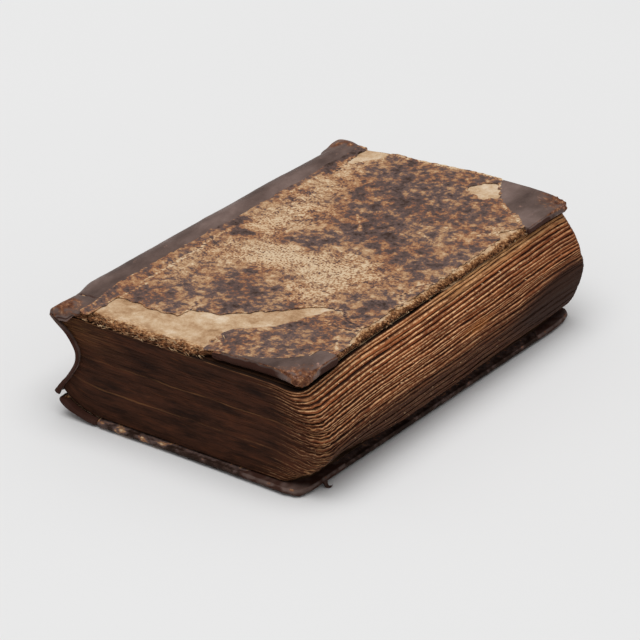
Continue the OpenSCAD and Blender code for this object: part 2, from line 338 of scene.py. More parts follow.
low_tone = add(tree, "ValToRGB", {0: streak}, ramp=[
    (0.36, "#2c170c"), (0.52, "#41261a"), (0.68, "#5f3d28")])
tan_tone = add(tree, "ValToRGB", {0: streak}, ramp=[
    (0.38, "#3a2112"), (0.52, "#6b4224"), (0.66, "#a87c4a")])
inner = add(tree, "Math", {0: count}, operation="FRACT")
seam = add(tree, "Math", {0: inner, 1: 0.5}, operation="PINGPONG")
at_tail = add(tree, "Math", {0: 1.0, 1: side}, operation="SUBTRACT")
past_turn = add(tree, "Math", {0: run, 1: TAIL_RUN + CORNER_RUN / 2}, operation="SUBTRACT")
from_turn = add(tree, "Math", {0: past_turn}, operation="ABSOLUTE")
keen = add(tree, "MapRange", {0: run, 1: 110.0, 2: 260.0, 3: 2.3, 4: 0.85})
cleaned = add(tree, "MapRange", {0: streak, 1: 0.42, 2: 0.58, 3: 0.15, 4: 1.3})
mask = {"side": side, "at_tail": at_tail, "fore_lines": 0.0, "tail_lines": 0.0}
for name, middle, spread in (("soot", (258, 13, 1), (0.023, 0.095, 0)),
                             ("scuff", (200, 22.5, 1), (0.09, 0.33, 0))):
    apart = add(tree, "VectorMath", {0: place, 1: middle}, operation="SUBTRACT")
    scaled = add(tree, "VectorMath", {0: apart, 1: spread}, operation="MULTIPLY")
    pattern[name] = add(tree, "VectorMath", {0: scaled}, operation="LENGTH", out="Value")
for name, leaf, half, much in (("fore_lines", 14.1, 0.16, 1.0), ("fore_lines", 10.9, 0.13, 1.0),
                               ("tail_lines", 21.6, 0.3, 1.0), ("tail_lines", 11.4, 0.2, 1.0),
                               ("tail_lines", 35.9, 0.16, 1.8)):
    line = add(tree, "Math", {0: count, 1: leaf, 2: half}, operation="COMPARE")
    mask[name] = add(tree, "Math", {0: line, 1: much, 2: mask[name]}, operation="MULTIPLY_ADD")
# Each mask: what it reads, from where to where, and how much it gives at both ends.
EVEN_MASKS = {"dirt": (seam, 0.07, 0.21, 0.97, 0.0), "deep_seam": (seam, 0.12, 0.34, 1.0, 0.12),
              "over": (inner, 0.56, 0.66, 0.0, 1.0), "below": (inner, 0.78, 0.86, 1.0, 0.0),
              "broken": (dash, 0.37, 0.57, 0.05, 1.0), "bitten": (pattern["spark"], 0.42, 0.6, 0.3, keen),
              "red": (blot, 0.5, 0.72, 0.0, 0.5), "black": (blot, 0.46, 0.34, 0.0, 0.7),
              "kept": (pattern["band"], 0.42, 0.54, 0.0, 0.7), "tail_kept": (dash, 0.44, 0.6, 0.0, 0.45),
              "clear": (seam, 0.07, 0.2, 0.0, cleaned), "bright": (pattern["chaff"], 0.68, 0.74, 0.0, 0.8),
              "glint": (pattern["thumb"], 0.53, 0.66, 0.0, 0.75), "on_top": (count, 35.97, 35.995, 0.0, 0.95)}
SMOOTH_MASKS = {"smear": (pattern["rust"], 0.6, 0.78, 0.0, 0.75), "under": (count, 21.0, 14.0, 0.0, 0.85),
                "soot": (pattern["soot"], 0.5, 1.1, 0.97, 0.0), "upper": (count, 32.2, 34.6, 0.0, 0.65),
                "scuff": (pattern["scuff"], 0.3, 1.1, 0.6, 0.0), "by_head": (run, 176.0, 200.0, 0.15, 1.0),
                "by_spine": (run, 6.0, 30.0, 0.35, 0.0), "by_top": (count, 23.0, 33.0, 0.0, 1.0),
                "by_turn": (from_turn, 0.5, 7.0, 1.0, 0.0), "shade": (from_turn, 5.0, 58.0, 0.92, 0.0)}
for masks, way in ((EVEN_MASKS, "LINEAR"), (SMOOTH_MASKS, "SMOOTHSTEP")):
    for name, row in masks.items():
        mask[name] = add(tree, "MapRange", dict(enumerate(row)), interpolation_type=way)
mask["unsooted"] = add(tree, "Math", {0: side, 1: mask["soot"]}, operation="SUBTRACT", use_clamp=True)
# Each layer of dirt, wear, painted shade or painted highlight, from the lowest up: its colour and the masks
# that it shows through.
# The layer of #140904 is painted shade in the grooves between gatherings.
# The layer of #edb886 is painted highlight on the lips where the top of each gathering catches the light.
EDGE_LAYERS = [(tint("#140904"), "dirt side"), (tint("#edb886"), "over below bitten broken side"),
               (tint("#74401b"), "smear"), (tint("#552c16"), "red at_tail"),
               (tint("#1d0e08"), "black at_tail"), (low_tone, "under side"),
               (tint("#b98d66"), "fore_lines kept side"), (tint("#37231a"), "soot"),
               (tint("#b5713a"), "scuff broken"), (tint("#cf9d68"), "upper clear by_head side"),
               (tint("#8a5f3a"), "tail_lines tail_kept at_tail"), (tan_tone, "by_spine by_top"),
               # The layer of #c69262 is painted highlight on the leaf ends at the tail corner of the fore
               # edge.
               (tint("#e2bd93"), "bright unsooted"), (tint("#c69262"), "glint by_turn"),
               # The layer of #1a0d07 is painted shadow on the top face of the leaves, under the front cover.
               (tint("#2a140a"), "shade deep_seam side"), (tint("#1a0d07"), "on_top")]
edge_colour = add(tree, "Mix", {0: side, 6: tail_tone, 7: fore_tone}, data_type="RGBA")
for colour, names in EDGE_LAYERS:
    much = 1.0
    for name in names.split():
        much = add(tree, "Math", {0: much, 1: mask[name]}, operation="MULTIPLY")
    edge_colour = add(tree, "Mix", {0: much, 6: edge_colour, 7: colour}, data_type="RGBA")
tree.links.new(edge_colour, shader.inputs["Base Color"])
ripple = add(tree, "Bump", {"Strength": 0.4, "Distance": 0.0003, "Height": streak})
tree.links.new(ripple, shader.inputs["Normal"])

leaves = make_piece("leaves", bm, rag_paper, crease=80)
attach(leaves, "text_block")
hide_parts("text_block")


# Free endpapers: one thin rag leaf tipped on at each end of the leaves. The front one
# has crept out at the fore edge and shows there as a pale, cockled strip.
def inside(outline, x, y):
    """True if the point lies inside the outline of points."""
    hit = False
    for (ax, ay), (bx, by) in zip(outline, outline[1:] + outline[:1]):
        if (ay > y) != (by > y) and x < (bx - ax) * (y - ay) / (by - ay) + ax:
            hit = not hit
    return hit


def sheet(span, step, keep, set_in, walls=2):
    """A thin layer: a fine grid trimmed by keep(a, b), with a lower face and an edge all round.
    set_in(a, b, h, rim, out) puts a point in the book and says how worn it is."""
    low_a, high_a, low_b, high_b = span
    bm = bmesh.new()
    bmesh.ops.create_grid(bm, size=0.5, x_segments=round((high_a - low_a) / step),
                          y_segments=round((high_b - low_b) / step))
    for v in bm.verts:
        v.co = (low_a + (v.co.x + 0.5) * (high_a - low_a), low_b + (v.co.y + 0.5) * (high_b - low_b), 1)
    trim = [v for v in bm.verts if not keep(v.co.x, v.co.y)]
    while trim:
        bmesh.ops.delete(bm, geom=trim, context="VERTS")
        trim = [v for v in bm.verts if not v.link_faces or sum(e.is_boundary for e in v.link_edges) > 2]
    rims = [v for v in bm.verts if v.is_boundary]
    for _ in range(3):
        pairs = [[e.other_vert(v).co for e in v.link_edges if e.is_boundary] for v in rims]
        for v, smooth in zip(rims, [0.5 * v.co + 0.25 * (p[0] + p[1]) for v, p in zip(rims, pairs)]):
            v.co = smooth
    outward = {}
    far = {}
    for v in rims:
        way = Vector((0, 0, 0))
        for e in v.link_edges:
            if e.is_boundary:
                across = (e.verts[1].co - e.verts[0].co).cross(Vector((0, 0, 1)))
                from_face = e.verts[0].co - e.link_faces[0].calc_center_median()
                way += across if across.dot(from_face) > 0 else -across
        outward[round(v.co.x, 3), round(v.co.y, 3)] = way.normalized()
        far[v] = 0.0
    front = rims
    while front:
        after = []
        for v in front:
            for e in v.link_edges:
                other = e.other_vert(v)
                if other not in far:
                    far[other] = far[v] + e.calc_length()
                    after.append(other)
        front = after
    reach = {(round(v.co.x, 3), round(v.co.y, 3)): d for v, d in far.items()}
    bmesh.ops.solidify(bm, geom=bm.faces[:], thickness=1.0)
    lowest = min(v.co.z for v in bm.verts)
    stand = [e for e in bm.edges if abs(e.verts[0].co.z - e.verts[1].co.z) > 0.5]
    bmesh.ops.subdivide_edges(bm, edges=stand, cuts=walls - 1, use_grid_fill=True)
    lay = bm.verts.layers.float_vector.new("lay")
    wear = bm.verts.layers.float.new("wear")
    still = Vector((0, 0, 0))
    for v in bm.verts:
        a, b, h = v.co.x, v.co.y, v.co.z - lowest
        spot = round(a, 3), round(b, 3)
        point, worn = set_in(a, b, h, reach[spot], outward.get(spot, still))
        v[lay] = (a, b, reach[spot])
        v[wear] = worn
        v.co = [c * MM for c in point]
    return bm


def curl(a, height):
    """A point of the back cover by its flat place and its height over the outer face."""
    if a >= CURL_X:
        return a, height
    turn = (CURL_X - a) / CURL_RADIUS
    reach = CURL_RADIUS - height
    return CURL_X - reach * math.sin(turn), CURL_RADIUS - reach * math.cos(turn)


def round_corner(x, y, fore, half, radius):
    """True inside a board or leaf outline with rounded fore corners."""
    if x > fore + 0.01 or abs(y) > half + 0.01:
        return False
    in_x, in_y = x - (fore - radius), abs(y) - (half - radius)
    return in_x < 0 or in_y < 0 or in_x ** 2 + in_y ** 2 < radius ** 2


def front_flyleaf_set(a, b, h, rim, out):
    ripple = 0.35 * wander(b / 19, 3.3) * ease((a - 20) / 30)
    curled = 0.7 * ease((a - 49) / 6) * (0.6 + 0.5 * wander(b / 13, 8))
    x = a + spine_slant(a, b, 40) + 0.5 * wander(b / 9, 1.7) * ease((a - 40) / 12)
    z = leaf_height(a, b, 1) + 0.03 + 0.2 * h + ripple * 0.3 - curled
    # Dirt at the rims, and painted shadow near the tail, where the flyleaf lies in the dark gap under the
    # cover.
    rim_dirt_and_shade = max(0.35 * ease((1.5 - rim) / 1.5), ease((-72 - b) / 7) * ease((a + 20) / 20))
    return (x, b + leaf_creep(a, b), z), rim_dirt_and_shade


def front_flyleaf_keep(x, y):
    return round_corner(x, y, 49.4 + 1.2 * ease(y / 12) + 0.4 * wander(y / 7, 6), 82, 6)


def back_flyleaf_set(a, b, h, rim, out):
    x, z = curl(a, 3.06 + 0.24 * h)
    # Painted shade at the rim, where the back endleaf shows in the dark wedge under the leaves.
    return (x, b, z), 0.9 * ease((2.5 - rim) / 2.5)


# Aged endpaper: cream rag paper gone tan, foxed in small brown spots, dirty at the rims, and darkened
# further as painted shade where the back leaves and the tail of the front leaf lie in shadow.
# Its clouds are 20 mm and its fox spots 4.5 mm. The tooth is 0.7 mm, coarser than real, to show.
endpaper, tree, shader = new_material("rag_endpaper_foxed", 0.85, 0.2)
place = add(tree, "Attribute", attribute_name="lay", out="Vector")
worn = add(tree, "Attribute", attribute_name="wear", out="Fac")
cloud = add(tree, "TexNoise", {"Vector": place, "Scale": 0.05, "Detail": 5, "Roughness": 0.6})
ground = add(tree, "ValToRGB", {0: cloud}, ramp=[(0.3, "#b38f6b"), (0.5, "#c4a17c"), (0.7, "#d1b490")])
spots = add(tree, "TexNoise", {"Vector": place, "Scale": 0.22, "Detail": 3, "Roughness": 0.7})
foxed = add(tree, "MapRange", {0: spots, 1: 0.63, 2: 0.74, 3: 0.0, 4: 0.6}, interpolation_type="SMOOTHSTEP")
spotted = add(tree, "Mix", {0: foxed, 6: ground, 7: tint("#7d5a34")}, data_type="RGBA")
dirt_and_shade_rims = add(tree, "Mix", {0: worn, 6: spotted, 7: tint("#3d2413")}, data_type="RGBA")
tree.links.new(dirt_and_shade_rims, shader.inputs["Base Color"])
tooth = add(tree, "TexNoise", {"Vector": place, "Scale": 1.4, "Detail": 4})
grain = add(tree, "Bump", {"Strength": 0.25, "Distance": 0.0002, "Height": tooth})
tree.links.new(grain, shader.inputs["Normal"])

front_flyleaf = make_piece("front_endleaf", sheet(
    (-50.5, 51.2, -82, 82), 1.5, front_flyleaf_keep, front_flyleaf_set, walls=1), endpaper)
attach(front_flyleaf, "text_block")
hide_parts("front_flyleaf")
back_flyleaf = make_piece("back_endleaf", sheet(
    (-52.5, 45, -82.5, 82.5), 1.5, lambda x, y: round_corner(x, y, 45, 82.5, 9),
    back_flyleaf_set, walls=1), endpaper)
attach(back_flyleaf, "text_block")
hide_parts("back_flyleaf")


# Sewing cords: twisted hemp let into saw cuts across the back, kept from the frame and
# given their own finish, because they hardly show.
# Hemp cord: dull brown yarn whose twist turns every 2 mm.
hemp, tree, shader = new_material("hemp_cord", 0.9)
spot = add(tree, "TexCoord", out="Object")
twist = add(tree, "TexWave", {"Vector": spot, "Scale": 320.0, "Distortion": 2.0}, bands_direction="DIAGONAL")
strand = add(tree, "ValToRGB", {0: twist}, ramp=[(0.2, "#5d452a"), (0.8, "#94774d")])
tree.links.new(strand, shader.inputs["Base Color"])
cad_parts["sewing_cords"].data.materials.clear()
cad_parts["sewing_cords"].data.materials.append(hemp)


# Pasteboards: layers of waste paper pasted and beaten into a board. The front one is
# rolled over at the spine, its tail and fore edges are worn open into loose layers and
# its corners are rounded; the back one is curled up along the spine.
ROLL_X = -48.5
ROLL_Z = 38.8
ROLL_RADIUS = 4.2
BOARD_TOP = 43.0
BOARD_LOW = 40.8
BOARD_HALF = 84.6
BOARD_CORNER = 5.2
LEATHER_PROUD = 0.3
BACK_FORE = 53.9
BACK_HALF = 84.9


def front_warp(x, y, z):
    """The front cover has crept out and up at the head and fore edge, and sags at the worn tail."""
    sag = 0.8 * math.exp(-((x + 8) / 26) ** 2) * ease((-62 - y) / 22)
    droop = 2.0 * math.exp(-((x - 53) ** 2 + (y + 85) ** 2) / 60) - 1.4 * ease((x - 3) / 12) * near_tail(y)
    flared = 1.1 * math.exp(-((x + 29) / 9) ** 2) * ease((y - 78) / 7)
    z += cover_lift(x, y) - sag - droop + flared
    return x + spine_slant(x, y, z), y + head_creep(x, y), z


def back_warp(x, y, z):
    """The back cover has slipped round, so it stands out at the head of the fore edge."""
    out = 0.03 * y + 1.2 * (1 - ease((y - 68) / 16))
    return x + out * ease((x + 10) / 60), y - 0.02 * x * ease((x + 30) / 50) - ease((-60 - y) / 24), z


def fore_line(y):
    """Where the front board ends at the fore edge: it has slipped in, most at the tail."""
    return 50.4 + 2.0 * ease((y + 30) / 85) + 0.8 * ease((-50 - y) / 20)


def tail_line(x):
    """Where the front board ends at the tail."""
    return -BOARD_HALF + 0.6 * ease((x + 20) / 40) + 0.3 * ease((x - 2) / 12)


def on_front(x, y, grow=0.0):
    """True inside the outline of the front board, or of one that stands out further by grow."""
    fore = fore_line(y) + grow
    if y < 0:
        y -= BOARD_HALF + tail_line(x)
    return round_corner(x, y, fore, BOARD_HALF + grow, BOARD_CORNER + grow)


def tail_worn(x):
    """How worn the tail edge of the front board is."""
    return ease((x + 42) / 4) * ease((9 - x) / 5)


def fore_worn(y):
    """How worn the fore edge of the front board is."""
    return ease((y + 54) / 9) * ease((60 - y) / 7)


def front_board_keep(x, y):
    x += fore_worn(y) * (1.4 + 0.8 * wander(y / 6, 2) + 0.5 * wander(y / 1.9, 4))
    if y < 0:
        bitten = 0.5 + 0.7 * wander(x / 5, 8) + 0.3 * wander(x / 1.3, 3)
        y -= tail_worn(x) * bitten + 0.8 * ease((x - 6) / 4)
    return on_front(x + 0.8 * (1 - fore_worn(y)) * ease((abs(y) - 45) / 8), y)


def tail_round(x, y):
    """How far the tail edge of the front cover is rounded down beside the worn stretch."""
    return 0.4 * ease((1.0 + tail_line(x) - y) / 1.0) * ease((x - 4) / 8)


def torn_layers(slope):
    """A slope broken into the steps of torn layers."""
    step = 4 * slope
    return (math.floor(step) + ease((step % 1 - 0.5) / 0.5)) / 4


def roll(a, depth):
    """A point of the front board by its flat place and its depth under the outer face."""
    if a >= ROLL_X:
        return a, BOARD_TOP - depth
    turn = (ROLL_X - a) / ROLL_RADIUS
    reach = ROLL_RADIUS - depth
    return ROLL_X - reach * math.sin(turn), ROLL_Z + reach * math.cos(turn)


def front_board_set(a, b, h, rim, out):
    at_tail = tail_worn(a) * ease((-74 - b) / 4)
    at_fore = fore_worn(b) * ease((a - 42) / 4)
    ragged = max(at_tail, at_fore)
    along, across, wide = (a, b, 5.2) if at_tail > at_fore else (b, a, 2.6)
    chips = 0.5 * wander(along / 4.5, across / 1.3, 1) + 0.3 * wander(along / 1.7, across / 0.8, 4)
    wide += 1.6 * wander(along / 7, 6) + 0.7 * wander(along / 2.2, 11)
    slope = min(max(ease((wide - rim) / wide) * (0.9 + chips) + 0.25 * chips, 0), 1)
    down = ragged * torn_layers(slope) * (1.0 if at_tail > at_fore else 0.75)
    pits = 0.6 * ragged * wander(a / 0.9, b / 0.9, 7) * ease((wide + 1 - rim) / 2)
    sunk = min(max(1.85 * down + pits, tail_round(a, b - 0.3)), 2.0)
    depth = 2.2 * (1 - h) + sunk * (h if rim == 0 else h > 0.5)
    if rim == 0:
        bulge = (2 * h - 1) ** 2
        fray = 0.6 * wander(along / 3, across / 3, h * 5) + 0.7 * wander(along / 1.1, across / 1.1, h * 9)
        push = ragged * (fray - 0.25 * bulge) - (1 - ragged) * 0.5 * bulge
        a += out.x * push
        b += out.y * push
    x, z = roll(a, depth)
    worn = down + 0.15 * ragged * ease((wide + 1.5 - rim) / 2)
    if rim == 0:
        worn = max(worn, 1.1 - 0.4 * h)
    return front_warp(x, b, z), worn


def back_board_keep(x, y):
    return round_corner(x, y, 53.4, 84.4, 4.5)


def back_underside(x, y):
    """How far the worn underside of the back cover rises towards its edges."""
    return 0.9 * ease((3.2 - min(BACK_FORE - x, BACK_HALF - abs(y))) / 3.2)


def back_board_set(a, b, h, rim, out):
    low = 0.35 + back_underside(a, b)
    if rim == 0:
        push = 0.25 * wander(a / 1.5, b / 1.5, h * 2) - 0.5 * (2 * h - 1) ** 2
        a += out.x * push
        b += out.y * push
    x, z = curl(a, low + (2.65 - low) * h)
    return back_warp(x, b, z), 0.9 * ease((2 - rim) / 2)


# Pasteboard: pressed waste paper, tan with paler and browner clouds, a fibrous rubbed
# surface, and torn layers coloured darker the deeper they lie and darkest at the foot of the
# edge walls. The clouds are 9 mm.
# Single fibres are too fine to show, so clumps of 2.6 mm and crumbs of 1.2 mm are drawn.
pasteboard, tree, shader = new_material("pasteboard_bare", 0.92, 0.15)
spot = add(tree, "TexCoord", out="Object")
worn = add(tree, "Attribute", attribute_name="wear", out="Fac")
cloud = add(tree, "TexNoise", {"Vector": spot, "Scale": 110.0, "Detail": 9, "Roughness": 0.74})
ground = add(tree, "ValToRGB", {0: cloud}, ramp=[
    (0.30, "#8f6c4b"), (0.42, "#b8936f"), (0.52, "#cfb08d"), (0.68, "#e8d4ba")])
flat = add(tree, "VectorMath", {0: spot, 1: (0.55, 0.75, 1.4)}, operation="MULTIPLY")
fuzz = add(tree, "TexNoise", {"Vector": flat, "Scale": 700.0, "Detail": 5, "Roughness": 0.75})
crumb = add(tree, "TexNoise", {"Vector": flat, "Scale": 1500.0, "Detail": 2, "Roughness": 0.6})
layered = add(tree, "Math", {0: worn, 1: 0.62, 2: 2.12}, operation="MULTIPLY_ADD")
for grain, much in ((crumb, -1.7), (cloud, -0.9), (fuzz, -1.3)):
    layered = add(tree, "Math", {0: grain, 1: much, 2: layered}, operation="MULTIPLY_ADD")
open_edge = add(tree, "ValToRGB", {0: layered}, ramp=[
    (0.0, "#e2c299"), (0.25, "#c29468"), (0.45, "#966742"), (0.68, "#633d24"), (0.95, "#2f190c")])
opened = add(tree, "MapRange", {0: worn, 1: 0.04, 2: 0.3, 3: 0.0, 4: 1.0})
board_colour = add(tree, "Mix", {0: opened, 6: ground, 7: open_edge}, data_type="RGBA")
tree.links.new(board_colour, shader.inputs["Base Color"])
press = add(tree, "Bump", {"Strength": 0.9, "Distance": 0.0006, "Height": fuzz})
tree.links.new(press, shader.inputs["Normal"])

front_board = make_piece("front_pasteboard", sheet(
    (-55.6, 52.6, -85.2, 85.2), 0.7, front_board_keep, front_board_set, walls=5), pasteboard)
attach(front_board, "front_cover")
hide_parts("front_board")
back_board = make_piece("back_pasteboard", sheet(
    (-54.8, 53.4, -84.4, 84.4), 1.4, back_board_keep, back_board_set, walls=3), pasteboard)
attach(back_board, "back_cover")
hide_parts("back_board")


# Loose fibres: slivers of the pasteboard's torn layers that stand up along the worn tail
# and fore edges. They are still part of the board and move with it.
LOOSE_THREADS = [(7.0, -73.0, 9.8, -5.6, 8.5), (8.4, -71.2, 5.4, -5.0, 6.0), (6.6, -75.5, 6.5, 4.0, 5.0)]


def add_sliver(bm, root, way, long, sides, thick, thin, share):
    """One tapered sliver from just behind its root, whose middle lies a share of its length on."""
    spin = way.to_track_quat("Z", "Y").to_matrix().to_4x4()
    middle = Matrix.Translation((root + share * long * way) * MM)
    bmesh.ops.create_cone(bm, segments=sides, radius1=thick * MM, radius2=thin * MM, depth=long * MM,
                          cap_ends=True, matrix=middle @ spin)


draw = random.Random(5)
bm = bmesh.new()
for index in range(420):
    inward = draw.uniform(-0.3, 3.6)
    if index % 4:
        x = draw.uniform(-41, 8)
        y = tail_line(x) + 0.5 + inward
        way = Vector((draw.choice((-1, 1)), draw.uniform(-0.75, 0.1), draw.uniform(-0.4, 0.1)))
    else:
        y = draw.uniform(-52, 58)
        x = fore_line(y) - 1.4 - 0.7 * inward
        way = Vector((draw.uniform(-0.1, 0.75), draw.choice((-1, 1)), draw.uniform(-0.4, 0.1)))
    z = BOARD_TOP - 1.7 * (1 - ease(inward / 4.5)) - draw.uniform(-0.1, 0.3)
    long = draw.uniform(0.7, 2.4)
    way.normalize()
    root = Vector(front_warp(x, y, z))
    add_sliver(bm, root, way, long, 3, draw.uniform(0.1, 0.24), 0.03, 0.4)
for x, y, across, down, long in LOOSE_THREADS:
    way = Vector((across, down, 0.6)).normalized()
    add_sliver(bm, Vector(front_warp(x, y, BOARD_TOP + 0.55)), way, long, 4, 0.16, 0.07, 0.45)
# Loose fibres are the same pasteboard, only paler, because light comes through them. Their
# tone changes every 2.5 mm.
fibre, tree, shader = new_material("pasteboard_fibre", 0.95)
spot = add(tree, "TexCoord", out="Object")
vary = add(tree, "TexNoise", {"Vector": spot, "Scale": 400.0, "Detail": 2})
straw = add(tree, "ValToRGB", {0: vary}, ramp=[(0.35, "#5f3d25"), (0.5, "#9c7450"), (0.65, "#cfb08a")])
tree.links.new(straw, shader.inputs["Base Color"])
fibres = make_piece("board_fibres", bm, fibre)
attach(fibres, "front_cover")


# Side papers: sprinkled paper pasted on the boards over the edges of the leather. Most of
# the front one is rubbed through to tan, and it is torn away in four places.
TAIL_TEAR = [(-37.6, -67.4), (-33.9, -66.8), (-27.8, -67.9), (-19.2, -68.3), (-13.7, -67), (-13.1, -60.9),
             (-6.9, -59.6), (-2, -58.3), (1.7, -54.6), (10.2, -47.4), (17.6, -41.4), (23.7, -36),
             (28.6, -35.4), (24.3, -42.5), (22.5, -47.3), (20.2, -53.4), (16.5, -58.2), (12.8, -61.8),
             (7.9, -65.3), (6, -69), (5.4, -75.1), (6.7, -78.6), (7, -90), (-37.9, -90)]
HEAD_TEAR = [(-40, 90), (-40.2, 80), (-39.9, 75.5), (-38.7, 71), (-36.5, 72.6), (-34.2, 75.3), (-30.6, 78.3),
             (-28, 81.5), (-26.6, 85), (-26.6, 90)]
CORNER_TEAR = [(15.1, 70.5), (17.6, 74.8), (18.2, 77.9), (22.5, 79.7), (25, 76.1), (29.9, 69.9),
               (28.6, 68.7), (23.7, 65.6), (20.7, 68.1)]
FORE_TEAR = [(62, 57), (50, 55.2), (48.6, 52), (47.4, 48.5), (45.2, 46.2), (48.2, 42), (48, 25), (47.5, 12),
             (47.2, 0), (46.8, -19), (46, -40), (46.6, -46), (48, -53), (62, -55)]
HEAD_CORNER = [(21, 95), (21.2, 84), (23.1, 79.7), (26.2, 75.4), (29.9, 69.9), (34.8, 65), (42.1, 61.3),
               (48.3, 55.2), (62, 53), (62, 95)]
TAIL_CORNER = [(7.8, -83.8), (13.1, -82.4), (23.4, -81.2), (30.9, -78.7), (36.9, -74.2), (42.2, -68),
               (42.6, -62.4), (48.8, -62.4), (62, -62), (62, -95), (7.8, -95)]
CRACKS = [[(46.4, 0), (43.4, -3.1), (42.7, -13.5), (38.2, -13.7)],
          [(42.7, -13.5), (43.6, -16.2), (46.8, -19)], [(-41, 87), (-40.2, 75), (-38.4, 68), (-38, 62)],
          [(28.6, -35.6), (31.7, -34), (37, -39), (48, -43)], [(31.7, -44), (38, -45.5), (46, -44)],
          [(-13.1, -61.3), (-13.4, -57), (-16, -54)]]
RIDGES = [[(-40.7, 57), (-40.7, 37)], [(-40, 2), (-40.2, -16)], [(-39, -16), (-38.8, -53)],
          [(-37, -53), (-37.2, -60), (-37.6, -67)], [(-34, 30.7), (-31, 29), (-28.4, 26.8)],
          [(-31, 29), (-31.6, 26)], [(39.5, 40), (44.7, 46.5), (49, 50)], [(46.5, 43.5), (44, 50)],
          [(33, 66), (38, 62.5), (43, 60), (47.5, 56)], [(42, -51), (45, -56), (47.5, -59.5)],
          [(-7, 33), (-3.5, 28.5), (0.4, 23.3)], [(20, 32), (28.6, 27)], [(5.3, -72.4), (15, -79.5)]]
# Rubbed spots of the front paper: the middle, the half widths, and how much paler or darker.
RUBBED = [(11, -8, 19, 13, 0.45), (-14, -9, 11, 10, 0.40), (14, -30, 10, 10, 0.33), (-32, 25, 11, 22, 0.24),
          (-30, 60, 9, 20, 0.16), (-28, -15, 12, 9, 0.2), (-33, -35, 9, 18, 0.14), (-18, 25, 10, 12, 0.16),
          (33, 38, 10, 6, 0.12), (33, 22, 5, 8, 0.12), (44, 2, 4, 8, 0.1), (15, -62, 8, 4, 0.1),
          (8, 23, 14, 10, -0.18), (2, 55, 22, 16, -0.08), (-12, 6, 9, 7, -0.22), (-35, 0, 7, 5, -0.28),
          (-5, -38, 13, 14, -0.12), (-30, -57, 10, 5, -0.15), (40, -25, 5, 12, -0.15), (40, 10, 6, 10, -0.1),
          (26, -62, 14, 12, -0.1), (34, 55, 10, 8, -0.1), (-43, 76, 3.5, 20, -0.35), (-43, 5, 3, 8, -0.3),
          (-28, 6, 9, 8, 0.2), (43, 49, 6, 4, 0.3), (-36, 12, 6, 10, 0.1), (-43, 45, 3, 25, -0.15),
          (0, 45, 26, 26, -0.06), (-15, 70, 14, 9, -0.1), (-37, 66, 4, 12, 0.12), (31, 13, 8, 7, -0.15)]


def rubbed(x, y):
    """How far the front paper is rubbed through."""
    x, y = x + 3.5 * wander(x / 9, y / 9, 1), y + 3.5 * wander(x / 9, y / 9, 5)
    total = 0.32 + 0.09 * wander(x / 5, y / 5, 2)
    for cx, cy, wide, tall, much in RUBBED:
        total += much * math.exp(-((x - cx) / wide) ** 2 - ((y - cy) / tall) ** 2)
    return total


def nearest(lines, x, y):
    """Distance from a point to the nearest of the lines."""
    best = 99.0
    for line in lines:
        for (ax, ay), (bx, by) in zip(line, line[1:]):
            t = ((x - ax) * (bx - ax) + (y - ay) * (by - ay)) / ((bx - ax) ** 2 + (by - ay) ** 2)
            t = min(max(t, 0), 1)
            best = min(best, math.hypot(ax + t * (bx - ax) - x, ay + t * (by - ay) - y))
    return best


def ragged_place(x, y):
    """The point shifted by noise, so that a torn outline comes out ragged."""
    return (x + 1.0 * wander(x / 3, y / 3) + 0.7 * wander(x / 1.1, y / 1.1, 3),
            y + 1.0 * wander(x / 3, y / 3, 9) + 0.7 * wander(x / 1.1, y / 1.1, 12))


def front_paper_keep(x, y):
    spine_edge = -45.5 - 0.016 * y + 2.0 * ease((-60 - y) / 18) + 0.35 * wander(y / 6, 7)
    if x < spine_edge or not front_board_keep(x + 0.2, y):
        return False
    rx, ry = ragged_place(x, y)
    torn = any(inside(tear, rx, ry) for tear in (TAIL_TEAR, HEAD_TEAR, CORNER_TEAR, FORE_TEAR))
    return not torn and not inside(HEAD_CORNER, x - 1, y - 1) and not inside(TAIL_CORNER, x - 1, y + 1)


def front_paper_set(a, b, h, rim, out):
    over_lap = 0.42 * ease((-40.1 - a) / 0.9)
    lift = 0.28 * ease((1.8 - rim) / 1.8) * (0.5 + wander(a / 2.6, b / 2.6, 6))
    rx, ry = ragged_place(a, b)
    crack, ridge = nearest(CRACKS, rx, ry), nearest(RIDGES, rx, ry)
    z = BOARD_TOP + 0.02 + 0.26 * h + over_lap + max(lift, 0) + 0.06 * wander(a / 4, b / 4)
    z += h * (0.16 * math.exp(-(ridge / 0.7) ** 2) - 0.2 * math.exp(-(crack / 0.5) ** 2))
    if h < 0.5 and b > 83.6:
        z = BOARD_LOW - 0.1
    if rim == 0 and b > 82:
        b += 0.4 + 0.5 * wander(a / 2.2, h * 3)
    frayed = max(0.1 + wander(a / 2.5, b / 2.5, 8), 0) * ease((1.1 - rim) / 1.1)
    if b > 82:
        frayed = ease((b - 82.6) / 1.6) * max(0.5 + 0.9 * wander(a / 3, b / 2, 8), 0)
    worn = rubbed(a, b) + 0.7 * frayed + 0.4 * math.exp(-(ridge / 0.5) ** 2)
    worn += 0.35 * math.exp(-(crack / 1.2) ** 2) - 0.9 * math.exp(-(crack / 0.36) ** 2)
    return front_warp(a, b, z), worn


def back_paper_keep(x, y):
    return round_corner(x, y, 54.2, 85.2, 4.8) and x + abs(y) < 118


